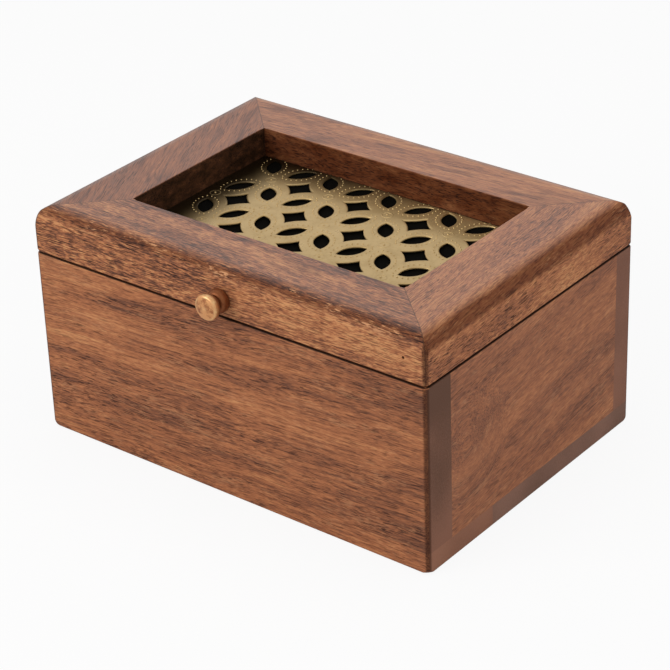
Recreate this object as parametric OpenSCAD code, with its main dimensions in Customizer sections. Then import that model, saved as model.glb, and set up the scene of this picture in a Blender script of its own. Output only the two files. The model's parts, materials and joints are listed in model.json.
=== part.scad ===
// Hardwood keepsake box with a framed lid and a pierced brass panel let into it.
// Millimetres, +Z up, front towards -Y. The origin is on the table, under the
// middle of the case. The lid is drawn closed.

/* [Case] */
// Outside width of the case and lid, left to right
box_w = 200; // [160:1:260]
// Outside depth of the case and lid, front to back
box_d = 144; // [120:1:190]
// Height of the case up to the lid line
case_h = 83.7; // [60:0.1:120]
// Thickness of the front board
front_t = 15.5; // [12:0.5:20]
// Thickness of the back board
back_t = 12; // [10:0.5:18]
// Thickness of each side board
side_t = 12; // [9:0.5:18]
// Thickness of the floor planks
floor_t = 10; // [7:0.5:14]
// Width of the front floor plank, measured back from the front face
front_plank_w = 43; // [30:1:60]
// Radius on the four upright corners
corner_r = 2.2; // [1:0.1:4]
// Radius on the bottom edges of the case
foot_r = 1.5; // [0.5:0.1:2.5]
// How many times rounder a corner is sanded than the edges that meet in it
corner_sanding = 2.3; // [1.5:0.1:3.5]

/* [Lid] */
// Height of the lid frame
lid_h = 20.1; // [18:0.1:30]
// Open line between the case and the closed lid
lid_gap = 0.7; // [0.5:0.05:1.2]
// Radius of the roundover along the top outer edges of the lid
round_r = 8; // [4:0.5:10]
// How far below the roundover the sanding of the lid's corners starts
sanding_drop = 2; // [1:0.5:3]
// Easing of the sharp edges at the lid line and round the well
ease_r = 0.55; // [0.2:0.05:1]
// How far from its corners the easing round the well stops
arris_stop = 1.5; // [1:0.5:5]
// Width of the front rail
front_rail_w = 28.8; // [24:0.1:36]
// Width of the back rail
back_rail_w = 30; // [24:0.1:36]
// Width of the left rail
left_rail_w = 30.3; // [24:0.1:36]
// Width of the right rail
right_rail_w = 30.9; // [24:0.1:36]
// Depth of the well from the top of the lid down to the brass
well_depth = 13.2; // [8:0.1:13.5]
// Width of the rabbet under the inner edges of the rails
rabbet_w = 6; // [5:0.5:8]

/* [Panel] */
// Thickness of the brass sheet
sheet_t = 0.7; // [0.4:0.1:1.2]
// Thickness of the black cloth behind the brass
cloth_t = 0.4; // [0.2:0.1:0.8]
// Thickness of the plywood backing
backing_t = 5.5; // [3:0.5:5.5]
// Clearance round the edges of the sheet, the cloth and the backing
panel_fit = 0.4; // [0.2:0.1:0.8]

/* [Pierced pattern] */
// Distance between petals along the width
petal_pitch_x = 15.5; // [14.5:0.1:18]
// Distance between rows of petals along the depth
petal_pitch_y = 22.9; // [22:0.1:26]
// Length of a petal hole, tip to tip
petal_len = 13.5; // [10:0.1:14]
// Width of a petal hole at its middle
petal_w = 6.6; // [4:0.1:7]
// Half width of a star hole
star_half_w = 7; // [4:0.1:7.3]
// Half depth of a star hole
star_half_d = 6.8; // [4:0.1:7.1]
// How far the sides of a star curve in
star_sag = 0.7; // [0.2:0.1:1.2]
// Left edge of the well to the middle of the first petal
margin_left = 10.9; // [9:0.1:14]
// Back edge of the well to the middle of the first petal
margin_back = 7.2; // [6:0.1:12]
// Least distance from the last petals to the right and front edges of the well
margin_end = 3; // [2:0.5:8]

/* [Knob] */
// Diameter of the knob's head
knob_head_d = 11; // [8:0.1:13]
// Thickness of the head at its rim
knob_head_t = 3.5; // [2.5:0.1:5]
// Diameter of the knob's foot against the rail
knob_foot_d = 10.1; // [7:0.1:12]
// Thickness of the foot
knob_foot_t = 4.5; // [2:0.1:5]
// Diameter of the neck
knob_neck_d = 6.8; // [4:0.1:7]
// Distance between the foot and the head
knob_neck_t = 1.6; // [1:0.1:3]
// Rise of the domed face
knob_dome = 0.7; // [0.3:0.1:1]
// Height of the knob's axis above the lid's lower edge
knob_z = 7.45; // [6:0.05:10]
// Sideways place of the knob, off the middle of the rail
knob_x = 1.1; // [-5:0.1:5]
// Diameter of the shank that screws into the rail
knob_shank_d = 3; // [2:0.1:4]
// Length of the shank inside the rail
knob_shank_l = 14; // [8:0.5:18]

/* [Hinges] */
// Distance from an end of the box to the middle of a hinge
hinge_inset = 38; // [34:1:60]
// Length of a hinge along its pin
hinge_l = 25; // [20:1:32]
// Reach of a leaf from the pin's axis
leaf_reach = 9.5; // [8:0.1:11]
// Thickness of a leaf
leaf_t = 1; // [0.8:0.05:1.4]
// Outside diameter of the knuckles
knuckle_d = 4; // [3.4:0.1:5]
// Diameter of the hinge pin
pin_d = 1.8; // [1.2:0.1:2.2]
// Radial clearance of the pin in the knuckles
pin_fit = 0.05; // [0.02:0.01:0.1]
// End clearance between two knuckles
knuckle_gap = 0.2; // [0.1:0.05:0.4]
// Clearance between the two leaves when the lid is closed
leaf_gap = 0.1; // [0.05:0.05:0.3]
// Clearance round a leaf and its knuckles in the wood
mortise_fit = 0.3; // [0.2:0.05:0.5]
// How far the pin's axis stands behind the back faces
pin_setback = 0.15; // [0.1:0.05:1]
// Distance between the two screws in a leaf
screw_spacing = 15; // [12:0.5:20]
// Diameter of a hinge screw's shank
screw_d = 2; // [1.6:0.1:2.4]
// Diameter of a hinge screw's head
screw_head_d = 4; // [3.4:0.1:4.4]
// Length of a hinge screw
screw_l = 9; // [7:0.5:11]
// Width of the slot in a screw's head
slot_w = 0.6; // [0.4:0.1:0.8]
// Depth of the slot in a screw's head
slot_depth = 0.5; // [0.3:0.1:0.7]

/* [Brads] */
// Diameter of the headless brads
brad_d = 1.2; // [0.8:0.1:1.6]
// Clearance all round a brad or a shank in the wood
drill_fit = 0.03; // [0.01:0.01:0.08]
// How far the brads are punched below the surface
punch_depth = 2; // [1:0.1:3]
// Length of the brads in the walls of the case
wall_brad_l = 28; // [22:1:34]
// Distance from the ends of a wall to its outermost brads
wall_brad_inset = 16; // [14:0.5:20]
// Length of the brads through the floor
floor_brad_l = 18; // [14:1:20]
// Length of the brads across the mitres of the lid
mitre_brad_l = 24; // [18:1:30]
// Distance of a mitre brad from the side of the lid
mitre_brad_inset = 10.4; // [8:0.1:14]
// Height of a mitre brad above the lid's lower edge
mitre_brad_z = 9.65; // [8:0.05:12]
// Length of the brads that hold the backing
backing_brad_l = 12; // [10:0.5:14]

/* [Hidden] */
$fn = 64;

// Cutters run this far past the faces that they cut
over = 1;
// Bodies that round off a corner stand this far clear of it, so that they cross it
corner_skim = 0.05;
// Depth of a sanded corner's round rim, as a share of its radius, so that it crosses the face
rim_share = 0.94;

// Levels
lid_z = case_h + lid_gap;
top_z = lid_z + lid_h;
sheet_z = top_z - well_depth - sheet_t;
cloth_z = sheet_z - cloth_t;
backing_z = cloth_z - backing_t;
pin_z = case_h + lid_gap / 2;
wall_h = case_h - floor_t;

// The well in the lid, seen from above
well_left = -box_w / 2 + left_rail_w;
well_right = box_w / 2 - right_rail_w;
well_front = -box_d / 2 + front_rail_w;
well_back = box_d / 2 - back_rail_w;

// Pattern: petals stand on a grid, and point to the bosses between them
petal_x0 = well_left + margin_left;
petal_y0 = well_back - margin_back;
petal_cols = floor((well_right - margin_end - petal_x0) / petal_pitch_x) + 1;
petal_rows = floor((petal_y0 - margin_end - well_front) / petal_pitch_y) + 1;
petal_tilt = atan(petal_pitch_y / petal_pitch_x);
// Radius of the two arcs that bound a petal
petal_arc_r = (pow(petal_len, 2) + pow(petal_w, 2)) / (4 * petal_w);
// Chord and radius of the arcs that bound a star
star_chord = norm([star_half_w, star_half_d]);
star_arc_r = (pow(star_chord, 2) / 4 + pow(star_sag, 2)) / (2 * star_sag);

// Hinges
hinge_x = box_w / 2 - hinge_inset;
pin_y = box_d / 2 + pin_setback;
knuckle_r = knuckle_d / 2;
knuckle_count = 5;
knuckle_l = (hinge_l - (knuckle_count - 1) * knuckle_gap) / knuckle_count;
knuckle_pitch = knuckle_l + knuckle_gap;
leaf_edge_gap = 0.3;
screw_y = pin_y - (leaf_reach + knuckle_r + leaf_edge_gap) / 2;
screw_head_h = (screw_head_d - screw_d) / 2;

// Roundings of the knob, as shares of the thickness of the disc that they round
foot_back_share = 0.2;
foot_front_share = 0.5;
head_round_share = 0.3;

// Brad places
wall_brad_zs = [floor_t + wall_brad_inset, floor_t + wall_h / 2, case_h - wall_brad_inset];
side_mid_x = box_w / 2 - side_t / 2;
front_mid_y = -box_d / 2 + front_t / 2;
back_mid_y = box_d / 2 - back_t / 2;
plank_seam_y = -box_d / 2 + front_plank_w;
floor_brad_xs = [-box_w * 0.3, 0, box_w * 0.3];
floor_brad_ys = [
  (plank_seam_y - box_d / 2 + front_t) / 2,
  plank_seam_y + (box_d / 2 - plank_seam_y) * 0.2,
  plank_seam_y + (box_d / 2 - plank_seam_y) * 0.65
];
well_mid_x = (well_left + well_right) / 2;
well_mid_y = (well_front + well_back) / 2;
backing_brad_xs = [for (s = [-1, 0, 1]) well_mid_x + s * (well_right - well_left) * 0.4];
backing_brad_inset = rabbet_w / 2;
backing_brad_z = backing_z + punch_depth / 2;

wood_front = [0.66, 0.43, 0.29];
wood_side = [0.52, 0.34, 0.25];
wood_floor = [0.43, 0.31, 0.25];
wood_rail = [0.62, 0.45, 0.37];
wood_ply = [0.72, 0.6, 0.45];
brass = [0.78, 0.68, 0.45];
polished_brass = [0.8, 0.6, 0.35];
steel = [0.6, 0.6, 0.6];
black = [0.04, 0.04, 0.03];

// ---- shared shapes ----

// The waste outside a rounded edge: a corner square less the circle of the edge.
// The corner is at the origin and the stock lies towards -X and -Y.
module edge_waste(r) {
  difference() {
    translate([-r, -r]) square(r + over);
    translate([-r, -r]) circle(r);
  }
}

// A board's section: width along X, centred, standing on Y = 0
module eased_section(w, h, low_r, top_r) {
  difference() {
    translate([-w / 2, 0]) square([w, h]);
    for (side = [0, 1]) mirror([side, 0]) {
      translate([w / 2, h]) edge_waste(top_r);
      translate([w / 2, 0]) mirror([0, 1]) edge_waste(low_r);
    }
  }
}

module rounded_plan(w, d, r) {
  difference() {
    square([w, d], center = true);
    for (sx = [0, 1], sy = [0, 1]) mirror([sx, 0]) mirror([0, sy])
      translate([w / 2, d / 2]) edge_waste(r);
  }
}

// Outer form of the case or the lid: sections along both ways and the plan
module outer_form(h, low_r, top_r) {
  intersection() {
    linear_extrude(h) rounded_plan(box_w, box_d, corner_r);
    rotate([90, 0, 0]) linear_extrude(box_d + 2 * over, center = true)
      eased_section(box_w, h, low_r, top_r);
    rotate([90, 0, 90]) linear_extrude(box_w + 2 * over, center = true)
      eased_section(box_d, h, low_r, top_r);
  }
}

// The four corners at one level, each turned so that the stock lies towards -X and -Y
module at_corners(z) {
  for (sx = [0, 1], sy = [0, 1]) mirror([sx, 0, 0]) mirror([0, sy, 0])
    translate([box_w / 2, box_d / 2, z]) children();
}

// How far a round body, set in from both faces, must reach to clear an upright corner
function corner_reach(inset) = sqrt(2) * (inset - corner_r) + corner_r + corner_skim;

// What sanding takes off where two edges of radius edge_r meet, below the level Z = 0:
// the corner of a block less a turned body with a round rim
module sanded_edge_waste(edge_r) {
  rim_r = corner_sanding * edge_r;
  inset = corner_r + rim_r;
  rim_drop = rim_r * rim_share;
  rim_centre = corner_reach(inset) - rim_r;
  translate([-inset, -inset, -rim_drop]) difference() {
    cube([inset + over, inset + over, rim_drop + over]);
    rotate_extrude() intersection() {
      union() {
        square([rim_centre, rim_r + over]);
        translate([rim_centre, 0]) circle(rim_r);
      }
      square([rim_centre + rim_r + over, rim_drop + 2 * over]);
    }
  }
}

// What sanding takes off where two roundovers meet: the corner of a block less a ball
module sanded_round_waste() {
  inset = round_r + corner_r / 2;
  ball_drop = round_r + sanding_drop;
  translate([-inset, -inset, -ball_drop]) difference() {
    cube([inset + over, inset + over, ball_drop + over]);
    sphere(corner_reach(inset));
  }
}

module case_form() {
  difference() {
    outer_form(case_h, foot_r, ease_r);
    at_corners(case_h) sanded_edge_waste(ease_r);
    at_corners(0) mirror([0, 0, 1]) sanded_edge_waste(foot_r);
  }
}

module lid_form() {
  difference() {
    translate([0, 0, lid_z]) outer_form(lid_h, ease_r, round_r);
    at_corners(top_z) sanded_round_waste();
    at_corners(lid_z) mirror([0, 0, 1]) sanded_edge_waste(ease_r);
  }
}

// A straight pin along +Z from its punched end
module straight_pin(l, d) {
  cylinder(h = l, d = d);
}

// ---- brads ----

// Places of the brads, each turned so that +Z runs into the joint
module at_wall_brads() {
  for (sx = [-1, 1], z = wall_brad_zs) {
    translate([sx * side_mid_x, -box_d / 2 + punch_depth, z]) rotate([-90, 0, 0]) children();
    translate([sx * side_mid_x, box_d / 2 - punch_depth, z]) rotate([90, 0, 0]) children();
  }
}

module at_floor_brads() {
  for (x = floor_brad_xs, y = [front_mid_y, back_mid_y])
    translate([x, y, punch_depth]) children();
  for (sx = [-1, 1], y = floor_brad_ys)
    translate([sx * side_mid_x, y, punch_depth]) children();
}

module at_mitre_brads() {
  for (sx = [-1, 1]) {
    translate([sx * (box_w / 2 - mitre_brad_inset), -box_d / 2 + punch_depth, lid_z + mitre_brad_z])
      rotate([-90, 0, 0]) children();
    translate([sx * (box_w / 2 - mitre_brad_inset), box_d / 2 - punch_depth, lid_z + mitre_brad_z])
      rotate([90, 0, 0]) children();
  }
}

module at_backing_brads() {
  for (x = backing_brad_xs, y = [well_front - backing_brad_inset, well_back + backing_brad_inset])
    translate([x, y, backing_brad_z]) children();
  for (x = [well_left - backing_brad_inset, well_right + backing_brad_inset])
    translate([x, well_mid_y, backing_brad_z]) children();
}

module brad(l) {
  color(steel) straight_pin(l, brad_d);
}

module brad_hole(l) {
  straight_pin(l, brad_d + 2 * drill_fit);
}

module wall_brads() {
  at_wall_brads() brad(wall_brad_l);
}

module floor_brads() {
  at_floor_brads() brad(floor_brad_l);
}

module mitre_brads() {
  at_mitre_brads() brad(mitre_brad_l);
}

module backing_brads() {
  at_backing_brads() brad(backing_brad_l);
}

// ---- hinges ----

// The four screw places of both hinges, at the inner face of the case leaves
module at_case_screws() {
  for (hx = [-1, 1], s = [-1, 1])
    translate([hx * hinge_x + s * screw_spacing / 2, screw_y, pin_z - leaf_gap / 2])
      rotate([180, 0, 0]) children();
}

module at_lid_screws() {
  for (hx = [-1, 1], s = [-1, 1])
    translate([hx * hinge_x + s * screw_spacing / 2, screw_y, pin_z + leaf_gap / 2])
      children();
}

// A countersunk screw with its head at Z = 0 and its shank along +Z
module screw_body(fit) {
  cylinder(h = screw_head_h, d1 = screw_head_d + 2 * fit, d2 = screw_d + 2 * fit);
  cylinder(h = screw_l + fit, d = screw_d + 2 * fit);
}

module hinge_screw() {
  color(brass) difference() {
    screw_body(0);
    translate([0, 0, slot_depth / 2 - over / 2])
      cube([screw_head_d + over, slot_w, slot_depth + over], center = true);
  }
}

module case_leaf_screws() {
  at_case_screws() hinge_screw();
}

module lid_leaf_screws() {
  at_lid_screws() hinge_screw();
}

// Knuckles of one leaf, along X about the pin: the case leaf has the odd ones
module knuckles(first) {
  for (i = [first:2:knuckle_count - 1])
    translate([-hinge_l / 2 + i * knuckle_pitch, 0, 0]) rotate([0, 90, 0])
      cylinder(h = knuckle_l, r = knuckle_r);
}

// The flat of a leaf, its top face half the leaf gap below the pin's axis.
// Tabs run from the flat to the knuckles that belong to it.
module leaf_flat(first) {
  translate([-hinge_l / 2, -leaf_reach, -leaf_gap / 2 - leaf_t])
    cube([hinge_l, leaf_reach - knuckle_r - leaf_edge_gap, leaf_t]);
  for (i = [first:2:knuckle_count - 1])
    translate([-hinge_l / 2 + i * knuckle_pitch, -leaf_reach, -leaf_gap / 2 - leaf_t])
      cube([knuckle_l, leaf_reach - pin_d / 2, leaf_t]);
}

// A leaf of the case, about the pin's axis
module hinge_leaf(first) {
  color(brass) difference() {
    union() {
      leaf_flat(first);
      knuckles(first);
    }
    rotate([0, 90, 0]) cylinder(h = hinge_l + 2 * over, d = pin_d + 2 * pin_fit, center = true);
    for (s = [-1, 1])
      translate([s * screw_spacing / 2, screw_y - pin_y, -leaf_gap / 2]) rotate([180, 0, 0])
        screw_body(drill_fit);
  }
}

module at_hinge(side) {
  translate([side * hinge_x, pin_y, pin_z]) children();
}

module case_leaf(side) {
  at_hinge(side) hinge_leaf(0);
}

module lid_leaf(side) {
  at_hinge(side) mirror([0, 0, 1]) hinge_leaf(1);
}

module hinge_pin(side) {
  color(brass) at_hinge(side) rotate([0, 90, 0]) cylinder(h = hinge_l, d = pin_d, center = true);
}

// Room in the wood for a hinge: the leaf's bed and a channel for the knuckles
module hinge_mortises() {
  for (side = [-1, 1]) at_hinge(side) {
    bed_h = leaf_t + leaf_gap / 2;
    translate([-hinge_l / 2 - mortise_fit, -leaf_reach - mortise_fit, -bed_h])
      cube([hinge_l + 2 * mortise_fit, leaf_reach + mortise_fit + over, 2 * bed_h]);
    rotate([0, 90, 0])
      cylinder(h = hinge_l + 2 * mortise_fit, r = knuckle_r + mortise_fit, center = true);
  }
}

// ---- case ----

module front_board() {
  color(wood_front) difference() {
    intersection() {
      case_form();
      translate([-box_w / 2, -box_d / 2, floor_t]) cube([box_w, front_t, wall_h]);
    }
    at_wall_brads() brad_hole(wall_brad_l);
    at_floor_brads() brad_hole(floor_brad_l);
  }
}

module back_board() {
  color(wood_front) difference() {
    intersection() {
      case_form();
      translate([-box_w / 2, box_d / 2 - back_t, floor_t]) cube([box_w, back_t, wall_h]);
    }
    at_wall_brads() brad_hole(wall_brad_l);
    at_floor_brads() brad_hole(floor_brad_l);
    hinge_mortises();
    at_case_screws() screw_body(drill_fit);
  }
}

// The side boards stand between the front and the back board
module side_board(side) {
  color(wood_side) difference() {
    intersection() {
      case_form();
      translate([side * side_mid_x - side_t / 2, -box_d / 2 + front_t, floor_t])
        cube([side_t, box_d - front_t - back_t, wall_h]);
    }
    at_wall_brads() brad_hole(wall_brad_l);
    at_floor_brads() brad_hole(floor_brad_l);
  }
}

// The floor is two planks, edge to edge, under all four walls
module floor_plank(from_y, to_y) {
  color(wood_floor) difference() {
    intersection() {
      case_form();
      translate([-box_w / 2, from_y, 0]) cube([box_w, to_y - from_y, floor_t]);
    }
    at_floor_brads() brad_hole(floor_brad_l);
  }
}

// ---- lid ----

// Waste along one edge of the well, where its upper arris is eased between the corners
module arris_waste(l) {
  rotate([90, 0, 90]) linear_extrude(l - 2 * arris_stop, center = true) edge_waste(ease_r);
}

// The well, its eased upper edges and the rabbet that holds the panel below
module well_waste() {
  well_w = well_right - well_left;
  well_d = well_back - well_front;
  translate([well_left, well_front, lid_z - over]) cube([well_w, well_d, lid_h + 2 * over]);
  translate([well_left - rabbet_w, well_front - rabbet_w, lid_z - over])
    cube([well_w + 2 * rabbet_w, well_d + 2 * rabbet_w, top_z - well_depth - lid_z + over]);
  translate([well_mid_x, well_front, top_z]) arris_waste(well_w);
  translate([well_mid_x, well_back, top_z]) mirror([0, 1, 0]) arris_waste(well_w);
  translate([well_right, well_mid_y, top_z]) rotate([0, 0, 90]) arris_waste(well_d);
  translate([well_left, well_mid_y, top_z]) rotate([0, 0, -90]) arris_waste(well_d);
}

// A rail is the part of the frame over one mitred outline
module lid_rail(outline) {
  color(wood_rail) difference() {
    intersection() {
      lid_form();
      translate([0, 0, lid_z]) linear_extrude(lid_h) polygon(outline);
    }
    well_waste();
    at_mitre_brads() brad_hole(mitre_brad_l);
    at_backing_brads() brad_hole(backing_brad_l);
  }
}

module lid_front_rail() {
  difference() {
    lid_rail([
      [-box_w / 2, -box_d / 2], [box_w / 2, -box_d / 2],
      [well_right, well_front], [well_left, well_front]
    ]);
    at_knob() cylinder(h = knob_shank_l + drill_fit, d = knob_shank_d + 2 * drill_fit);
    open_pinhole();
  }
}

module lid_back_rail() {
  difference() {
    lid_rail([
      [box_w / 2, box_d / 2], [-box_w / 2, box_d / 2],
      [well_left, well_back], [well_right, well_back]
    ]);
    hinge_mortises();
    at_lid_screws() screw_body(drill_fit);
  }
}

module lid_left_rail() {
  lid_rail([
    [-box_w / 2, box_d / 2], [-box_w / 2, -box_d / 2],
    [well_left, well_front], [well_left, well_back]
  ]);
}

module lid_right_rail() {
  lid_rail([
    [box_w / 2, -box_d / 2], [box_w / 2, box_d / 2],
    [well_right, well_back], [well_right, well_front]
  ]);
}

// The hole over the right front mitre brad was left unfilled
module open_pinhole() {
  translate([box_w / 2 - mitre_brad_inset, -box_d / 2 - over, lid_z + mitre_brad_z])
    rotate([-90, 0, 0]) cylinder(h = punch_depth + 2 * over, d = brad_d + 2 * drill_fit);
}

// ---- panel ----

// Outline of what lies in the rabbet
module panel_plan() {
  margin = rabbet_w - panel_fit;
  translate([well_left - margin, well_front - margin])
    square([well_right - well_left + 2 * margin, well_back - well_front + 2 * margin]);
}

// A pointed oval between two arcs, its length along X
module petal_hole() {
  intersection() {
    translate([0, petal_arc_r - petal_w / 2]) circle(petal_arc_r);
    translate([0, petal_w / 2 - petal_arc_r]) circle(petal_arc_r);
  }
}

// A four-pointed star with sides that curve in: each pair of circles crosses at a tip
module star_hole() {
  side_out = [star_half_d, star_half_w] / star_chord;
  arc_centre = [star_half_w, star_half_d] / 2 + side_out * (star_arc_r - star_sag);
  blank_w = star_half_w + over;
  blank_d = star_half_d + over;
  difference() {
    polygon([[blank_w, 0], [0, blank_d], [-blank_w, 0], [0, -blank_d]]);
    for (sx = [-1, 1], sy = [-1, 1])
      translate([sx * arc_centre[0], sy * arc_centre[1]]) circle(star_arc_r);
  }
}

// Petals lean left and right by turns, so that four of them meet at a boss.
// A star stands between every second pair of columns, on the lines of bosses.
module pattern_holes() {
  for (col = [0:petal_cols - 1], row = [0:petal_rows - 1]) {
    lean = (col + row) % 2 == 0 ? -1 : 1;
    translate([petal_x0 + col * petal_pitch_x, petal_y0 - row * petal_pitch_y])
      rotate(lean * petal_tilt) petal_hole();
  }
  for (col = [0:petal_cols - 2], row = [0:petal_rows - 2])
    if ((col + row) % 2 == 1)
      translate([petal_x0 + (col + 0.5) * petal_pitch_x, petal_y0 - (row + 0.5) * petal_pitch_y])
        star_hole();
}

module pierced_brass_sheet() {
  color(brass) difference() {
    translate([0, 0, sheet_z]) linear_extrude(sheet_t) difference() {
      panel_plan();
      pattern_holes();
    }
    at_backing_brads() brad_hole(backing_brad_l);
  }
}

module black_backing_cloth() {
  color(black) difference() {
    translate([0, 0, cloth_z]) linear_extrude(cloth_t) panel_plan();
    at_backing_brads() brad_hole(backing_brad_l);
  }
}

module plywood_backing() {
  color(wood_ply) difference() {
    translate([0, 0, backing_z]) linear_extrude(backing_t) panel_plan();
    at_backing_brads() brad_hole(backing_brad_l);
  }
}

// ---- knob ----

// On the front face of the lid, with +Z into the rail
module at_knob() {
  translate([knob_x, -box_d / 2, lid_z + knob_z]) rotate([-90, 0, 0]) children();
}

// Half a disc's section from the axis out, with its far rims rounded
module disc_section(r, t, low_r, top_r) {
  intersection() {
    eased_section(2 * r, t, low_r, top_r);
    square([r + over, t]);
  }
}

// Turned profile: foot, neck and a flat-domed head, radius along X, out along Y
module knob_profile() {
  head_z = knob_foot_t + knob_neck_t;
  head_r = knob_head_d / 2;
  rim_r = knob_head_t * head_round_share;
  face_r = head_r - rim_r;
  dome_r = (pow(face_r, 2) + pow(knob_dome, 2)) / (2 * knob_dome);
  disc_section(knob_foot_d / 2, knob_foot_t, knob_foot_t * foot_back_share, knob_foot_t * foot_front_share);
  square([knob_neck_d / 2, head_z + over]);
  translate([0, head_z]) disc_section(head_r, knob_head_t, rim_r, rim_r);
  translate([0, head_z + knob_head_t]) intersection() {
    translate([0, knob_dome - dome_r]) circle(dome_r);
    translate([0, -over]) square([face_r, knob_dome + 2 * over]);
  }
}

module knob() {
  color(polished_brass) at_knob() union() {
    rotate([180, 0, 0]) rotate_extrude() knob_profile();
    cylinder(h = knob_shank_l, d = knob_shank_d);
  }
}

// ---- nodes ----

front_board();
back_board();
side_board(-1);  // left_side_board
side_board(1);  // right_side_board
floor_plank(-box_d / 2, plank_seam_y);  // front_floor_plank
floor_plank(plank_seam_y, box_d / 2);  // rear_floor_plank
wall_brads();
floor_brads();
lid_front_rail();
lid_back_rail();
lid_left_rail();
lid_right_rail();
mitre_brads();
pierced_brass_sheet();
black_backing_cloth();
plywood_backing();
backing_brads();
knob();
case_leaf(-1);  // left_hinge_case_leaf
case_leaf(1);  // right_hinge_case_leaf
lid_leaf(-1);  // left_hinge_lid_leaf
lid_leaf(1);  // right_hinge_lid_leaf
hinge_pin(-1);  // left_hinge_pin
hinge_pin(1);  // right_hinge_pin
case_leaf_screws();
lid_leaf_screws();
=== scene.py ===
# %% [markdown]
# # A wooden box with a pierced brass lid
#
# A case of planed rosewood boards carries a hinged lid. The lid is a mitred frame with a rounded
# outer edge, and a stamped brass sheet lies sunk in its middle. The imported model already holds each
# piece at its real size. This lesson gives the pieces their looks: oiled wood that is cut from a log
# made of noise, a brass sheet whose holes are rolled and ringed with beads, and the metal fittings.
# Lengths are metres, the box stands on z = 0 and its front faces -Y.

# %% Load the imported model
import json
import math

import bpy
from mathutils import Matrix, Vector


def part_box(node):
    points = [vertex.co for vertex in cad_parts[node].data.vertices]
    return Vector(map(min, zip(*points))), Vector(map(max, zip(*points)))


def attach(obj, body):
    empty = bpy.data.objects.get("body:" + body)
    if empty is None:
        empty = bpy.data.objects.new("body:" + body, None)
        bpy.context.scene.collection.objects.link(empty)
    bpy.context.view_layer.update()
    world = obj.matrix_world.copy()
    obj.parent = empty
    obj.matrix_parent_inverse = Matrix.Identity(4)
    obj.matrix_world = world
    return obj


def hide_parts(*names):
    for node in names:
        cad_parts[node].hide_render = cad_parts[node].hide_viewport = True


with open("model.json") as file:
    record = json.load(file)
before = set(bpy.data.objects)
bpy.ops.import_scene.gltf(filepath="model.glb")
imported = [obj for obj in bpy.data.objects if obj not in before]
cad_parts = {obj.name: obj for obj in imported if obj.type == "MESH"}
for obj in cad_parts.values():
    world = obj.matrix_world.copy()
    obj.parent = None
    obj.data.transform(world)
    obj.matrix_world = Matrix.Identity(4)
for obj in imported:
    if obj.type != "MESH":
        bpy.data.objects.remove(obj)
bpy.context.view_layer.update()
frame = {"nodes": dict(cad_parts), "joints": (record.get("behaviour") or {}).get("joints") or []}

MM = 0.001
nodes = frame["nodes"]

# %% [markdown]
# ## Camera
#
# A long lens looks down at the front right corner. Its place and turn come from the box's own
# straight edges: where they run together in the distance fixes the turn, and how far apart the
# near and far corners lie fixes the distance. The horizon leans by two degrees.

# %% Camera
CAMERA_PLACE = (0.5657, -0.7023, 0.5418)
CAMERA_AZIMUTH = math.radians(38.87)
CAMERA_ELEVATION = math.radians(28.97)
CAMERA_ROLL = math.radians(-2.12)
CAMERA_LENS = 131.74
CAMERA_SENSOR = 36

camera_data = bpy.data.cameras.new("camera")
camera_data.lens = CAMERA_LENS
camera_data.sensor_width = CAMERA_SENSOR
camera = bpy.data.objects.new("camera", camera_data)
bpy.context.scene.collection.objects.link(camera)
turn = Matrix.Rotation(CAMERA_AZIMUTH, 4, "Z")
tilt = Matrix.Rotation(math.pi / 2 - CAMERA_ELEVATION, 4, "X")
roll = Matrix.Rotation(CAMERA_ROLL, 4, "Z")
camera.matrix_world = Matrix.Translation(CAMERA_PLACE) @ turn @ tilt @ roll
bpy.context.scene.camera = camera
bpy.context.scene.view_settings.view_transform = "Standard"
print("the camera stands", round(Vector(CAMERA_PLACE).length, 3), "m away")

# %% [markdown]
# ## Shader maths as Python
#
# A material is a tree of nodes, and long trees are easier to read as sums. A Wire wraps one output
# socket: adding, taking away or multiplying wires adds the Math nodes that do it, so 1 - mask works.
# Every other node comes from one method, which sets the node up first and then fills its sockets.


# %% Wires
class Wire:
    """One output socket of a node tree, which the usual operators work on."""

    def __init__(self, tree, socket):
        self.tree = tree
        self.socket = socket

    def node(self, kind, settings=None, sockets=None, output=0):
        """A new node with its settings made first, then the values or wires of its sockets."""
        made = self.tree.nodes.new(kind)
        for name, value in (settings or {}).items():
            if name == "stops":
                set_stops(made.color_ramp, value)
            else:
                setattr(made, name, value)
        for name, value in (sockets or {}).items():
            if isinstance(value, Wire):
                self.tree.links.new(value.socket, made.inputs[name])
            else:
                made.inputs[name].default_value = value
        return Wire(self.tree, made.outputs[output])

    def maths(self, operation, *others):
        return self.node("ShaderNodeMath", {"operation": operation}, dict(enumerate((self, *others))))

    def __add__(self, other):
        return self.maths("ADD", other)

    def __sub__(self, other):
        return self.maths("SUBTRACT", other)

    def __mul__(self, other):
        return self.maths("MULTIPLY", other)

    def __rsub__(self, other):
        return self * -1 + other

    __radd__ = __add__
    __rmul__ = __mul__


def set_stops(ramp, stops):
    """Gives a colour ramp these (place, colour) stops."""
    while len(ramp.elements) < len(stops):
        ramp.elements.new(1)
    for element, (place, colour) in zip(ramp.elements, stops):
        element.position = place
        element.color = colour


# %% Colours and small helpers
def paint(red, green, blue):
    """A colour as a painter mixes it, 0 to 255, turned into the light values that a shader takes."""
    def light(value):
        value = value / 255
        return value / 12.92 if value <= 0.04045 else ((value + 0.055) / 1.055) ** 2.4
    return (light(red), light(green), light(blue), 1)


def tint(base, over, amount, way="MIX"):
    """Lays one colour over another, or with MULTIPLY stains it and leaves its grain to be seen."""
    sockets = {"Factor": amount, 6: base, 7: over}
    wire = next(value for value in (amount, base, over) if isinstance(value, Wire))
    return wire.node("ShaderNodeMix", {"data_type": "RGBA", "blend_type": way}, sockets, 2)


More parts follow.
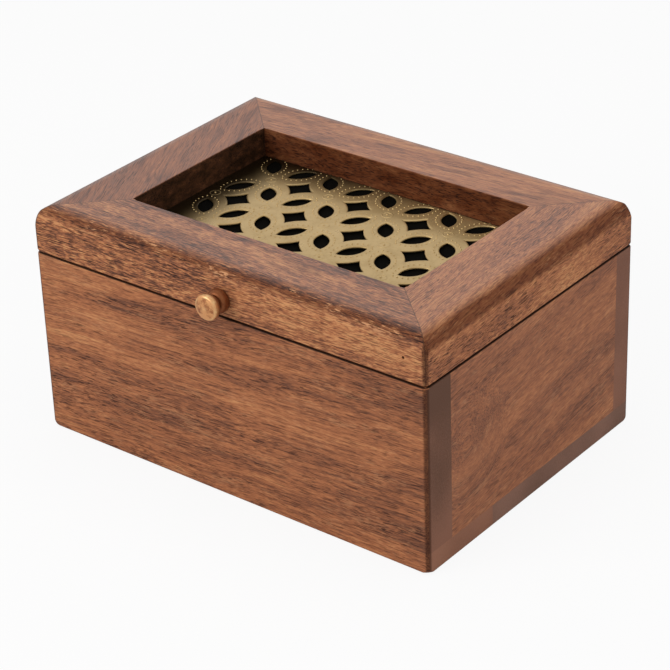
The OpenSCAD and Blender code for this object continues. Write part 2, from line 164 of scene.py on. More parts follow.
def rise(value, low, high):
    """0 below low, 1 above high, and a smooth slope between them."""
    sockets = {"Value": value, "From Min": low, "From Max": high}
    return value.node("ShaderNodeMapRange", {"interpolation_type": "SMOOTHSTEP"}, sockets)


def along(vector, direction):
    """How far a vector reaches in a direction."""
    return vector.node("ShaderNodeVectorMath", {"operation": "DOT_PRODUCT"}, {0: vector, 1: direction}, 1)


def stretched(place, lengths, seed=0):
    """Coordinates on which noise has blotches about this long in X, Y and Z."""
    spacing = tuple(1 / length for length in lengths)
    sockets = {"Vector": place, "Scale": spacing, "Location": (seed, 0, 0)}
    return place.node("ShaderNodeMapping", None, sockets)


def noise(place, lengths, detail=2, roughness=0.5, seed=0):
    """Noise from 0 to 1. Its seed is a step along X to another part of the same noise."""
    scaled = stretched(place, lengths, seed)
    sockets = {"Vector": scaled, "Scale": 1, "Detail": detail, "Roughness": roughness}
    return place.node("ShaderNodeTexNoise", None, sockets, "Fac")


def new_finish(name):
    """An empty material with its shader, and the wires of the place and the normal on the piece."""
    finish = bpy.data.materials.new(name)
    finish.use_nodes = True
    tree = finish.node_tree
    shader = tree.nodes["Principled BSDF"]
    coordinates = tree.nodes.new("ShaderNodeTexCoord")
    place = Wire(tree, coordinates.outputs["Object"])
    normal = Wire(tree, coordinates.outputs["Normal"])
    return finish, shader, place, normal


def bump(height, depth, strength=1):
    """The normal of a surface whose height wire moves it by this depth."""
    return height.node("ShaderNodeBump", None, {"Height": height, "Distance": depth, "Strength": strength})


def feed(shader, socket, value):
    """Joins a wire to the shader, or sets a number there."""
    if isinstance(value, Wire):
        value.tree.links.new(value.socket, shader.inputs[socket])
    else:
        shader.inputs[socket].default_value = value


RIGHT = (1, 0, 0)
BACK = (0, 1, 0)
UP = (0, 0, 1)
print("wires and helpers are ready")

# %% [markdown]
# ## Studio
#
# A white floor without an edge, three soft lamps and a pale sky. The front board is the brightest
# face and the right side lies in half shade. Gloss sees a brighter sky than the box is lit by, so
# that the oiled tops and the brass throw it back. The camera sees sky and floor as nearly pure
# white, and what is left of the floor's own light keeps the box's shadow on it.

# %% Sky
SKY_ON_BOX = 0.38
SKY_IN_GLOSS = 0.9
SKY_SEEN = 1.0


def rays(tree, kind):
    """1 for rays of one kind, such as those of the camera, and 0 for all others."""
    path = tree.nodes.new("ShaderNodeLightPath")
    return Wire(tree, path.outputs[kind])


sky = bpy.data.worlds.new("sky")
sky.use_nodes = True
bpy.context.scene.world = sky
background = sky.node_tree.nodes["Background"]
background.inputs["Color"].default_value = (1, 1, 1, 1)
seen_sky = rays(sky.node_tree, "Is Camera Ray") * (SKY_SEEN - SKY_ON_BOX)
mirrored_sky = rays(sky.node_tree, "Is Glossy Ray") * (SKY_IN_GLOSS - SKY_ON_BOX)
sky_light = seen_sky + mirrored_sky + SKY_ON_BOX
sky.node_tree.links.new(sky_light.socket, background.inputs["Strength"])
print("the sky lights the box at", SKY_ON_BOX, "of white")

# %% Floor
FLOOR_SIZE = 12
FLOOR_SHARE_OF_OWN_LIGHT = 0.10
FLOOR_WHITE = paint(240, 240, 240)

bpy.ops.object.select_all(action="DESELECT")
bpy.ops.mesh.primitive_plane_add(size=FLOOR_SIZE, location=(0, 0, 0))
floor = bpy.context.object
floor.name = "studio_floor"
floor_finish, floor_shader, floor_place, _ = new_finish("white_floor")
floor_shader.inputs["Base Color"].default_value = FLOOR_WHITE
floor_shader.inputs["Roughness"].default_value = 1
floor_shader.inputs["Specular IOR Level"].default_value = 0
floor_tree = floor_finish.node_tree
glow = floor_place.node("ShaderNodeEmission", None, {"Color": (1, 1, 1, 1), "Strength": 1})
share = rays(floor_tree, "Is Camera Ray") * (1 - FLOOR_SHARE_OF_OWN_LIGHT)
own_light = Wire(floor_tree, floor_shader.outputs[0])
floor_look = floor_place.node("ShaderNodeMixShader", None, {0: share, 1: own_light, 2: glow})
floor_tree.links.new(floor_look.socket, floor_tree.nodes["Material Output"].inputs["Surface"])
floor.data.materials.append(floor_finish)
print("the floor is", FLOOR_SIZE, "m wide")

# %% Lamps
LAMPS = {
    # name: (place, width, height, power in watts, whether gloss shows it)
    "front_softbox": ((-0.55, -1.25, 0.80), 1.1, 0.9, 11.0, True),
    "top_softbox": ((0.1, 0.2, 1.5), 1.2, 1.2, 6.0, False),
    "right_fill": ((1.4, 0.1, 0.6), 0.8, 0.8, 4.0, False),
}
AIM = Vector((0, 0, 0.05))

for name, (place, width, height, power, in_gloss) in LAMPS.items():
    lamp_data = bpy.data.lights.new(name, "AREA")
    lamp_data.shape = "RECTANGLE"
    lamp_data.size = width
    lamp_data.size_y = height
    lamp_data.energy = power
    lamp = bpy.data.objects.new(name, lamp_data)
    bpy.context.scene.collection.objects.link(lamp)
    lamp.location = place
    lamp.rotation_euler = (Vector(place) - AIM).to_track_quat("Z", "Y").to_euler()
    lamp.visible_glossy = in_gloss
print("lamps:", ", ".join(LAMPS))

# %% [markdown]
# ## A log made of noise
#
# Each board is sawn from a log, so its grain is best made as a solid: the same pattern then shows as
# long streaks on the faces and as clouds and dots on the end grain. Every layer is noise that is
# pulled long along the grain. Bands, streaks, curl and flecks add up to the tone of the wood, and
# dark pores and pale chips are laid over it. A slow wander keeps lines from running dead straight,
# and a knot near by can push them aside in closed loops.


# %% Grain space
WANDER_LENGTHS = (95, 32, 32)  # in mm, along the grain and across it


def grain_space(place, board):
    """Object coordinates in millimetres, with X along this board's grain, in its own part of the log."""
    quarter = math.radians(-90) if board["grain"] == "Y" else 0
    laid = {"Vector": place, "Scale": (1 / MM,) * 3, "Rotation": (0, 0, quarter)}
    turned = place.node("ShaderNodeMapping", None, laid)
    slope_up, slope_across = board["slope"]
    sloped = {"Vector": turned, "Rotation": (0, math.radians(slope_up), math.radians(slope_across))}
    return place.node("ShaderNodeMapping", None, sloped), turned


def wander(space, amount):
    """Pushes the grain aside slowly, across the board only."""
    scaled = stretched(space, WANDER_LENGTHS)
    swirl = space.node("ShaderNodeTexNoise", None, {"Vector": scaled, "Scale": 1, "Detail": 2}, "Color")
    centred = space.node("ShaderNodeVectorMath", {"operation": "SUBTRACT"}, {0: swirl, 1: (0.5,) * 3})
    push = {0: centred, 1: (0, amount, amount), 2: space}
    return space.node("ShaderNodeVectorMath", {"operation": "MULTIPLY_ADD"}, push)


def knot(space, flat_space, centre, radius, push):
    """Pushes the grain up round a point of the board, so that lines close into loops there."""
    away = space.node("ShaderNodeVectorMath", {"operation": "DISTANCE"}, {0: flat_space, 1: centre}, 1)
    near = 1 - rise(away, 0, radius)
    lift = space.node("ShaderNodeCombineXYZ", None, {"Y": near * push, "Z": near * push})
    return space.node("ShaderNodeVectorMath", {"operation": "ADD"}, {0: space, 1: lift})


print("the grain drifts over", WANDER_LENGTHS[0], "mm along the board")

# %% [markdown]
# ## Rosewood and its age
#
# Fresh wood is only a ramp of browns. Use has chipped the roundovers of the rails pale and waxed their
# tops, and dust lies on the boards. The inner faces are darker, and dark lines run along the mitres.
# Painted shade darkens a band of each roundover, the upright corners and the open line under the lid,
# and painted sheen pales the flat tops. Each of these is a mask times a colour. A mask is a smooth
# rise from one value to another, so each pair below gives where it starts and is full.

# %% Colours of the wood
DARK_HEART = paint(70, 44, 34)
HEART = paint(112, 72, 54)
BROWN = paint(147, 92, 63)
AMBER = paint(176, 112, 74)
GOLD = paint(206, 146, 98)
WOOD_TONES = [(0.0, DARK_HEART), (0.30, HEART), (0.50, BROWN), (0.68, AMBER), (1.0, GOLD)]
PORE = paint(56, 34, 28)
CHIP = paint(208, 150, 106)
# Dust on every board, and painted sheen on the flat tops.
DUST_AND_SHEEN = paint(164, 128, 116)
# Painted shade along the middle of the rounded upright corners.
CORNER_SHADE = paint(62, 34, 22)
JOINT = paint(62, 42, 32)
# Painted shade, multiplied onto a band of the roundovers.
ROUNDOVER_SHADE = paint(164, 146, 138)
# Painted shade in the open line under the lid.
LID_LINE_SHADE = paint(24, 14, 10)
# Colours that darken the inner faces of the well.
INNER_DARK = paint(76, 62, 58)
INNER_DARK_RED = paint(118, 86, 62)
INNER_DARK_GREY = paint(86, 94, 91)
PORE_DEPTH = 0.05 * MM
WOOD_SHINE = 0.08
WAX_ROUGHNESS = 0.3
print(len(WOOD_TONES), "tones from dark heart to gold")

# %% Layers and masks of the wood
LAYERS = {
    # name: (lengths in mm along, across and through the board, detail, roughness, step of the seed)
    "bands": ((150, 9, 14), 3, 0.55, 0),
    "streaks": ((32, 0.9, 1.2), 4, 0.65, 7),
    "curl": ((5.5, 2.2, 2.2), 2, 0.5, 13),
    "flecks": ((3.2, 0.45, 0.55), 2, 0.6, 17),
    "pores": ((7, 0.32, 0.36), 1, 0.4, 19),
    "chips": ((4, 0.7, 0.6), 2, 0.6, 29),
    "crowds": ((22, 5, 5), 1, 0.5, 31),
}
PALE_BAND = (0.35, 0.6)
PORE_EDGE = (0.55, 0.63)
CHIP_EDGE = (0.54, 0.64)

# How far a face has to turn to count as the flat top, as end grain or as an inner face.
TURNED_UP = (0.78, 1.0)
TURNED_END = (0.75, 0.95)
TURNED_IN = (0.6, 0.9)

END_CLOUD = (24 * MM, 30 * MM, 36 * MM)
END_DOTS = (0.7 * MM,) * 3
END_DOTS_SEED = 37
END_CONTRAST = (0.30, 0.70)

GRAIN = {"X": RIGHT, "Y": BACK}
LID_LEVEL = frame["joints"][0]["pos_m"][2]  # the hinge pins lie level with the open line
CASE_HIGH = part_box("back_board")[1]
print("the open line lies", round(LID_LEVEL / MM, 2), "mm up")


# %% Mitres
def mitre(side_rail, cross_rail):
    """The upright plane of a mitre, from a corner of the lid to a corner of the well: normal and offset."""
    side_box = sorted(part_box(side_rail), key=lambda corner: abs(corner.x))
    cross_box = sorted(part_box(cross_rail), key=lambda corner: abs(corner.y))
    inner = Vector((side_box[0].x, cross_box[0].y, 0))
    outer = Vector((side_box[1].x, math.copysign(CASE_HIGH.y, cross_box[0].y), 0))
    run = (outer - inner).normalized()
    across = Vector((-run.y, run.x, 0))
    return tuple(across), across.dot(inner)


FRONT_LEFT = mitre("lid_left_rail", "lid_front_rail")
FRONT_RIGHT = mitre("lid_right_rail", "lid_front_rail")
BACK_LEFT = mitre("lid_left_rail", "lid_back_rail")
BACK_RIGHT = mitre("lid_right_rail", "lid_back_rail")
MITRE_WIDTH = (0.08 * MM, 0.35 * MM)
MITRE_STRENGTH = 0.55
print("the front left mitre runs at", round(math.degrees(math.acos(FRONT_LEFT[0][0]))), "degrees")

# %% Dark lines
# Painted shade along the rounded upright corners, and in the open line under the lid.
CORNER_SHADE_TURN = (0.02, 0.42)
CORNER_SHADE_UPRIGHT = (0.25, 0.75)
CORNER_SHADE_STRENGTH = 0.7
# Painted shade on the eased edges and rims of the open line under the lid.
LID_SHADE_NEAR = (0.45 * MM, 0.80 * MM)    # from the open line, up or down
LID_SHADE_EDGE = (-1.4 * MM, -0.8 * MM)    # from the outside of the case, inwards
LID_SHADE_STRENGTH = 0.95
FLAT_RIM = (0.8, 1.0)
LESS_SHADE_ON_RIM = 0.06  # the flat rims take this share less


def size_along(vector, direction):
    """How far a vector reaches along a line, either way."""
    return along(vector, direction).maths("ABSOLUTE")


def corner_shade_line(normal):
    """1 along the middle of a rounded upright corner, where shade is painted."""
    both_ways = size_along(normal, RIGHT) * size_along(normal, BACK)
    upright = 1 - rise(size_along(normal, UP), *CORNER_SHADE_UPRIGHT)
    return rise(both_ways, *CORNER_SHADE_TURN) * upright


def lid_line_shade(place, normal):
    """Painted shade: 1 on the eased edges along the open line of the lid, and a little less on the flat rims
    there.
    """
    across = along(place, UP) - LID_LEVEL
    near = 1 - rise(across.maths("ABSOLUTE"), *LID_SHADE_NEAR)
    beyond_x = size_along(place, RIGHT) - CASE_HIGH.x
    beyond_y = size_along(place, BACK) - CASE_HIGH.y
    edge = rise(beyond_x.maths("MAXIMUM", beyond_y), *LID_SHADE_EDGE)
    on_rim = rise(size_along(normal, UP), *FLAT_RIM)
    return near * edge * (1 - on_rim * LESS_SHADE_ON_RIM)


def dark_lines(colour, place, normal, board):
    """Lays dark mitre joints, and painted shade on the upright corners and the open line, over a colour."""
    for across, offset in board.get("mitres", []):
        from_joint = (along(place, across) - offset).maths("ABSOLUTE")
        joint = 1 - rise(from_joint, *MITRE_WIDTH)
        colour = tint(colour, JOINT, joint * MITRE_STRENGTH)
    colour = tint(colour, CORNER_SHADE, corner_shade_line(normal) * CORNER_SHADE_STRENGTH)
    return tint(colour, LID_LINE_SHADE, lid_line_shade(place, normal) * LID_SHADE_STRENGTH)


print("dark lines reach", round(-LID_SHADE_EDGE[0] / MM, 1), "mm in from the outside")


# %% Rosewood
def end_grain(place, board):
    """Clouds and fine dots of sawn ends, which end_lean makes paler towards the floor."""
    cloud = noise(place, END_CLOUD, detail=2, roughness=0.4, seed=board["seed"])
    dots = noise(place, END_DOTS, detail=2, seed=board["seed"] + END_DOTS_SEED)
    downward = along(place, (0, 0, -1 / LID_LEVEL)) + 0.5
    tone = cloud * 0.7 + dots * 0.3 + downward * board["end_lean"]
    dark, pale = board["end"]
    return tint(dark, pale, rise(tone, *END_CONTRAST))


def rosewood(name, board):
    """Oiled rosewood for one board."""
    finish, shader, place, normal = new_finish(name)
    space, flat_space = grain_space(place, board)
    if "knot" in board:
        space = knot(space, flat_space, *board["knot"])
    bent = wander(space, board["wander"])
    layers = {}
    for layer, (lengths, detail, roughness, step) in LAYERS.items():
        layers[layer] = noise(bent, lengths, detail, roughness, board["seed"] + step)
    streaks, curl, crowds = layers["streaks"], layers["curl"], layers["crowds"]

    tone = along(place, board["lean"]) + board["tone"]
    for layer in ("bands", "streaks", "curl", "flecks"):
        tone = tone + (layers[layer] - 0.5) * board[layer]
    colour = tone.node("ShaderNodeValToRGB", {"stops": WOOD_TONES}, {"Fac": tone})

    # Dark bands hold more pores than pale ones. A band of the roundover gets painted shade, and chips crowd
    # together in it.
    dark_place = 1 - rise(layers["bands"], *PALE_BAND)
    pore_mask = rise(layers["pores"], *PORE_EDGE) * (dark_place * 0.5 + 0.5) * board["pores"]
    colour = tint(colour, PORE, pore_mask)
    chip_mask = rise(layers["chips"] * 0.6 + crowds * 0.4, *CHIP_EDGE) * board["chips"]
    if "round" in board:
        leaning = along(normal, UP) + (crowds - 0.5) * 0.3
        shade_and_wear_band = rise(leaning, *board["worn_from"]) * (1 - rise(leaning, *board["worn_to"]))
        # Painted shade on the band of the roundover.
        colour = tint(colour, ROUNDOVER_SHADE, shade_and_wear_band * board["round"], "MULTIPLY")
        chip_mask = chip_mask * (shade_and_wear_band * 1.2 + 0.25)
    colour = tint(colour, CHIP, chip_mask)
    flat_top = rise(along(normal, UP), *TURNED_UP)
    # Flat tops are paled with painted sheen; dust lies evenly over the whole board.
    colour = tint(colour, DUST_AND_SHEEN, flat_top * board["haze"] + board["dust"])

    end = rise(size_along(normal, GRAIN[board["grain"]]), *TURNED_END)
    colour = tint(colour, end_grain(place, board), end)
    # The inner faces are darkened, in patches.
    if "inner" in board:
        inside = rise(along(normal, board["inner"]), *TURNED_IN)
        amount, stain = board["stain"]
        patchy = amount - (curl * 0.4 + crowds * 0.6 - 0.5) * 0.9
        colour = tint(colour, stain, inside * patchy, "MULTIPLY")

    feed(shader, "Base Color", dark_lines(colour, place, normal, board))
    feed(shader, "Roughness", streaks * 0.14 + pore_mask * 0.2 + board["rough"])
    feed(shader, "Specular IOR Level", WOOD_SHINE)
    feed(shader, "Coat Weight", flat_top * board["wax"])
    feed(shader, "Coat Roughness", WAX_ROUGHNESS)
    feed(shader, "Normal", bump(streaks * 0.35 - pore_mask, PORE_DEPTH, 0.6))
    return finish


print("rosewood is ready")

# %% [markdown]
# ## The boards
# - on the front board, lean is painted light: paler at the left, nearer the front lamp;
#
# Every board has its own place in the log, which its seed gives, and its own wear. Its numbers say:
#
# - grain is the axis that the fibres follow, and slope how far they run out of true, in degrees;
# - wander is how far they drift, and knot gives a knot's centre, radius and push, all in mm;
# - tone is how pale the wood is, and lean how that changes along X, Y and Z, for each metre;
# - bands, streaks, curl, flecks, pores and chips say how much each layer shows;
# - rough, wax, haze and dust belong to the surface; wax and haze, a painted sheen, lie on flat tops only;
# - end holds the dark and the pale colour of the end grain, and end_lean pales it towards the floor;
# - inner is where a rail's inner face looks, and stain how much it is darkened, and with which colour;
# - round is how much painted shade darkens a band of a roundover, between the turns that worn_from and
#   worn_to give; chips crowd in that band.

# %% Boards
PLAIN = {
    "grain": "X", "slope": (0, 0), "wander": 7, "seed": 0, "tone": 0.5, "bands": 0.9, "streaks": 1.0,
    "curl": 0.2, "flecks": 0.6, "pores": 0.9, "chips": 0.3, "rough": 0.40, "wax": 0,
    "dust": 0.02, "haze": 0, "lean": (0, 0, 0), "end_lean": 0, "stain": (0.7, INNER_DARK),
    "end": (paint(118, 80, 64), paint(144, 100, 80)),
}
RAIL = PLAIN | {
    "streaks": 0.8, "flecks": 0.7, "wax": 0.7, "haze": 0.08,
    # round sets the painted shade on a band of the roundover.
    "round": 0.7, "worn_from": (0.35, 0.75), "worn_to": (0.92, 1.0),
}
BOARDS = {
    "front_board": PLAIN | {
        "slope": (3.5, 0), "seed": 3, "tone": 0.56, "end": (paint(99, 69, 54), paint(137, 95, 76)),
        # lean paints the front lamp's light, which falls off from left to right.
        "end_lean": 0.6, "lean": (-0.45, 0, 0),
    },
    "back_board": PLAIN | {"slope": (-2, 0), "seed": 41},
    "right_side_board": PLAIN | {
        "grain": "Y", "slope": (8, 0), "seed": 57, "tone": 0.54, "bands": 0.6, "streaks": 0.4, "curl": 0.3,
        "flecks": 0.7, "knot": ((-46, -96, 45), 30, 16), "pores": 0.6, "dust": 0.10,
    },
    "left_side_board": PLAIN | {"grain": "Y", "slope": (3, 0), "seed": 71},
    "front_floor_plank": PLAIN | {
        "seed": 83, "slope": (2, 2), "tone": 0.58, "end": (paint(136, 94, 74), paint(152, 106, 84)),
    },
    "rear_floor_plank": PLAIN | {
        "seed": 97, "slope": (-1, 3), "tone": 0.4, "end": (paint(116, 86, 72), paint(142, 106, 90)),
    },
    "lid_front_rail": RAIL | {
        "seed": 109, "slope": (2, 1), "tone": 0.58, "bands": 1.4, "curl": 0.8, "flecks": 1.8,
        "chips": 0.7, "pores": 1.2, "lean": (-0.6, 0, 0),
        "inner": (0, 1, 0), "mitres": [FRONT_LEFT, FRONT_RIGHT],
    },
    "lid_back_rail": RAIL | {
        "seed": 127, "slope": (1, -6), "tone": 0.70, "bands": 0.9, "inner": (0, -1, 0),
        "stain": (0.8, INNER_DARK_RED), "mitres": [BACK_LEFT, BACK_RIGHT], "lean": (-0.1, 0, 0),
    },
    "lid_left_rail": RAIL | {
        "grain": "Y", "seed": 139, "slope": (0, -26), "tone": 0.48, "bands": 0.3, "streaks": 0.8,
        "flecks": 0.4, "inner": (1, 0, 0), "stain": (0.88, INNER_DARK_GREY), "mitres": [FRONT_LEFT, BACK_LEFT],
    },
    "lid_right_rail": RAIL | {
        "grain": "Y", "seed": 151, "slope": (4, -5), "tone": 0.66, "curl": 0.3, "flecks": 1.1, "chips": 0.15,
        "round": 0.95, "worn_from": (0.05, 0.4), "worn_to": (0.75, 1.0),
        "inner": (-1, 0, 0), "mitres": [FRONT_RIGHT, BACK_RIGHT], "lean": (0, -0.5, 0),
    },
}


def dress(node_name, finish):
    """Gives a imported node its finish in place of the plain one."""
    slots = nodes[node_name].data.materials
    slots.clear()
    slots.append(finish)


for node_name, board in BOARDS.items():
    dress(node_name, rosewood("rosewood_" + node_name, board))
print(len(BOARDS), "boards are oiled")

# %% [markdown]
# ## Plywood and cloth
#
# What lies under the brass shows only as black behind its holes and from below, with the lid up:
# a plywood panel with its glued layers on the edge, and a matt black cloth.


# %% Plywood
PLY_LAYER = 1.1 * MM
PLY_WANDER = 10
PLY_STREAK = (60, 2.5, 2.5)
PLY_FLECK = (3, 0.4, 0.4)
PLY_GRAIN = {"grain": "X", "slope": (0, 0)}


def plywood(name):
    """Birch-faced plywood: a pale, lightly streaked face, and layers that take turns on the edge."""
    finish, shader, place, normal = new_finish(name)
    space, _ = grain_space(place, PLY_GRAIN)
    bent = wander(space, PLY_WANDER)
    streak = noise(bent, PLY_STREAK, detail=3)
    fleck = noise(bent, PLY_FLECK, detail=1)
    face = tint(paint(190, 150, 104), paint(214, 180, 134), rise(streak, 0.35, 0.65))
    face = tint(face, paint(150, 108, 68), rise(fleck, 0.62, 0.72) * 0.6)
    layer = along(place, (0, 0, 1 / PLY_LAYER)).maths("PINGPONG", 1)
    edge = tint(paint(120, 82, 50), paint(186, 148, 104), rise(layer, 0.4, 0.6))
    upward = rise(size_along(normal, UP), 0.4, 0.6)
    feed(shader, "Base Color", tint(edge, face, upward))
    feed(shader, "Roughness", fleck * 0.1 + 0.55)
    feed(shader, "Normal", bump(streak - fleck * 0.5, PORE_DEPTH, 0.5))
    return finish


dress("plywood_backing", plywood("birch_plywood"))
print("the plywood's layers are", round(PLY_LAYER / MM, 1), "mm thick")

# %% Black cloth
THREAD = 0.5 * MM
THREAD_DEPTH = 0.1 * MM
LINT = (2 * MM,) * 3


def black_cloth(name):
    """Matt black cotton: two crossed waves make the weave."""
    finish, shader, place, _ = new_finish(name)
    warp = along(place, (math.tau / THREAD, 0, 0)).maths("SINE")
    weft = along(place, (0, math.tau / THREAD, 0)).maths("SINE")
    weave = warp * weft * 0.5 + 0.5
    lint = noise(place, LINT, detail=3)
    colour = tint(paint(3, 2, 1), paint(8, 7, 4), weave * 0.6 + rise(lint, 0.5, 0.8) * 0.4)
    feed(shader, "Base Color", colour)
    feed(shader, "Roughness", weave * 0.05 + 0.92)
    feed(shader, "Specular IOR Level", 0.06)
    feed(shader, "Normal", bump(weave, THREAD_DEPTH, 0.7))
    return finish


dress("black_backing_cloth", black_cloth("black_cotton"))
print("the cloth has a thread every", round(THREAD / MM, 1), "mm")

# %% [markdown]
# ## Metals
#
# One worn metal serves the steel brads, the hinges, the knob and the sheet, with other colours and
# spots. The last two each hand the metal a function that paints more onto them. The knob gets grime
# and painted shade behind its head, and painted highlights on the rim and in the middle. The sheet
# lies sunk in its well; it gets painted shadow along the left and back rails, which spares the tips
# of its beads, and painted contact shade along its edge. Brass under old lacquer is part mirror and
# part paint, so neither is metal all through.


# %% Worn metal
METAL_HAZE = 0.15


def metal(name, colour, dark, roughness, spots, wear=0.5, scratches=0.012 * MM, bare=1, age_and_light=None):
    """Worn metal: blotches of tarnish as big as spots, a finer speckle and shallow scratches."""
    finish, shader, place, _ = new_finish(name)
    blotch = noise(place, (spots, spots, spots), detail=4, roughness=0.6)
    speckle = noise(place, (spots / 12,) * 3, detail=2, seed=5)
    rub = noise(place, (spots / 2, spots / 40, spots / 40), detail=2, seed=9)
    tarnish = rise(blotch * 0.7 + speckle * 0.3, 0.42, 0.66) * wear
    shade = tint(colour, dark, tarnish)
    # The knob's function paints grime, shade and highlights here, and the sheet's a painted shadow.
    if age_and_light:
        shade = age_and_light(place, shade, blotch)
    feed(shader, "Base Color", shade)
    feed(shader, "Metallic", bare)
    feed(shader, "Specular IOR Level", METAL_HAZE)
    feed(shader, "Roughness", blotch * 0.12 + speckle * 0.06 + roughness)
    feed(shader, "Normal", bump(speckle * 0.6 + rub * 0.4, scratches, 0.5))
    return finish


print("worn metal is ready")

# %% Grime, shade and highlights of the knob
# Grime and painted shade behind the knob's head.
GRIME_AND_SHADE = paint(112, 56, 28)
GRIME_AND_SHADE_STARTS = 1.6 * MM  # behind the front of the head
GRIME_AND_SHADE_FULL = 3.6 * MM
# Painted highlights on the rim and in the middle of the knob's face.
KNOB_HIGHLIGHT = paint(236, 192, 136)
HIGHLIGHT_RIM_INSIDE = (0.74, 0.93)  # these three are shares of the head's radius
HIGHLIGHT_RIM_OUTSIDE = (1.04, 1.15)
HIGHLIGHT_MIDDLE = 0.34
HIGHLIGHT_BLOTCHES = (0.35, 0.7)


def knob_grime_and_light(place, shade, blotch):
    """Grime and painted shade behind the head, and painted highlights on the rim and in the middle of it."""
    low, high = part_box("knob")
    grime_and_shade = rise(along(place, BACK), low.y + GRIME_AND_SHADE_STARTS, low.y + GRIME_AND_SHADE_FULL)
    shade = tint(shade, GRIME_AND_SHADE, grime_and_shade * (1 - blotch * 0.3))
    front = ((low.x + high.x) / 2, low.y, (low.z + high.z) / 2)
    radius = (high.x - low.x) / 2
    away = place.node("ShaderNodeVectorMath", {"operation": "DISTANCE"}, {0: place, 1: front}, 1)
    inside, outside = ([share * radius for share in pair] for pair in (HIGHLIGHT_RIM_INSIDE, HIGHLIGHT_RIM_OUTSIDE))
    rim = rise(away, *inside) * (1 - rise(away, *outside))
    middle = 1 - rise(away, 0, radius * HIGHLIGHT_MIDDLE)
    # Painted highlights on the rim and in the middle.
    return tint(shade, KNOB_HIGHLIGHT, (rim + middle) * rise(blotch, *HIGHLIGHT_BLOTCHES))


print("the knob is grimy from", round(GRIME_AND_SHADE_STARTS / MM, 1), "mm behind its front")

# %% Painted shadow on the sheet
STRUCK_HEIGHT = "struck_height"  # in mm above the flat land, kept on the sheet's own points
# Painted shadow on the brass along the left and back rails.
PAINTED_SHEET_SHADOW = paint(52, 47, 42)
SHADOW_ENDS = (5 * MM, 34 * MM)
SHADOW_RAGGED = 6 * MM
LEFT_STEEPNESS = 1.2   # how fast the painted shadow fades away from the left rail
BACK_FADE = 0.25       # how fast the band along the back rail fades to the right
# Struck heights at which the tips of the beads leave the painted shadow.
UNSHADOWED_TIPS = (0.05, 0.2)
# Painted contact shade along the sheet's edge, at the foot of the rails.
CONTACT_SHADE_WIDTH = (0.2 * MM, 0.9 * MM)


def sheet_shadow(place, shade, blotch):
    """Painted shadow along the left and back rails, kept off the tips of the beads, and painted contact
    shade along the edge all round.
    """
    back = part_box("lid_back_rail")[0].y
    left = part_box("lid_left_rail")[1].x
    from_left = along(place, RIGHT) - left
    from_back = back - along(place, BACK)
    inwards = (from_left * LEFT_STEEPNESS).maths("MINIMUM", from_left * BACK_FADE + from_back)
    shadowed = 1 - rise(inwards + (blotch - 0.5) * SHADOW_RAGGED, *SHADOW_ENDS)
    height = place.node("ShaderNodeAttribute", {"attribute_name": STRUCK_HEIGHT}, None, "Fac")
    low = 1 - rise(height, *UNSHADOWED_TIPS)
    # Painted contact shade near every rail.
    from_side = -left - size_along(place, RIGHT)
    from_end = back - size_along(place, BACK)
    contact_shade = 1 - rise(from_side.maths("MINIMUM", from_end), *CONTACT_SHADE_WIDTH)
    return tint(shade, PAINTED_SHEET_SHADOW, (shadowed * low).maths("MAXIMUM", contact_shade), "MULTIPLY")


# The painted shadow reaches this far in.
print("the sheet is tarnished up to", round(SHADOW_ENDS[1] / MM), "mm in")

# %% Four metals
steel = metal("brad_steel", paint(150, 148, 144), paint(86, 80, 74), 0.3, 3 * MM)
hinge_brass = metal("hinge_brass", paint(206, 168, 96), paint(138, 100, 52), 0.26, 5 * MM)
turned_brass = metal(
    "turned_brass", paint(216, 156, 104), paint(130, 70, 44), 0.26, 3 * MM, wear=0.9,
    scratches=0.05 * MM, bare=0.6, age_and_light=knob_grime_and_light,
)
aged_brass = metal(
    "aged_brass", paint(199, 170, 119), paint(170, 141, 92), 0.21, 7 * MM, scratches=0.004 * MM,
    bare=0.62, age_and_light=sheet_shadow,
)
for node_name in nodes:
    if "brads" in node_name:
        dress(node_name, steel)
    if "hinge" in node_name or "screws" in node_name:
        dress(node_name, hinge_brass)
dress("knob", turned_brass)
print("metals are dressed")

# %% [markdown]
# ## Stamped brass sheet
#
# A press cuts the leaves and stars out of the sheet and rolls their edges down, and beads, rings and
# points are struck up from below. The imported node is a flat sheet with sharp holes. A copy of it is
# merged into one skin, its whole upper face is lowered, and then inset again and again with a little
# rise each time: that leaves a rounded slope along every hole. A last inset without any rise keeps
# the land between the holes truly flat, which a glossy metal needs.


# %% Rolled edges
ROLL_DEPTH = 0.30 * MM
ROLL_STEPS = [(0.12, 0.13), (0.16, 0.09), (0.22, 0.05), (0.30, 0.03), (0.12, 0.0)]  # width, rise in mm
MERGE_DISTANCE = 0.002 * MM
FACING_UP = 0.9
SKIN = 0.05 * MM  # faces less than this below the top are part of it


def select_only(obj):
    """Deselects everything, then makes this the active object."""
    bpy.ops.object.select_all(action="DESELECT")
    obj.select_set(True)
    bpy.context.view_layer.objects.active = obj


def merged_copy(name, node_name):
    """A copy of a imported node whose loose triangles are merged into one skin."""
    made = bpy.data.objects.new(name, nodes[node_name].data.copy())
    bpy.context.scene.collection.objects.link(made)
    select_only(made)
    bpy.ops.mesh.customdata_custom_splitnormals_clear()
    bpy.ops.object.mode_set(mode="EDIT")
    bpy.ops.mesh.select_all(action="SELECT")
    bpy.ops.mesh.remove_doubles(threshold=MERGE_DISTANCE)
    bpy.ops.mesh.select_all(action="DESELECT")
    bpy.ops.object.mode_set(mode="OBJECT")
    return made


def on_top(face, height):
    """Whether a face looks up and lies at this height."""
    return face.normal.z > FACING_UP and face.center.z > height - SKIN


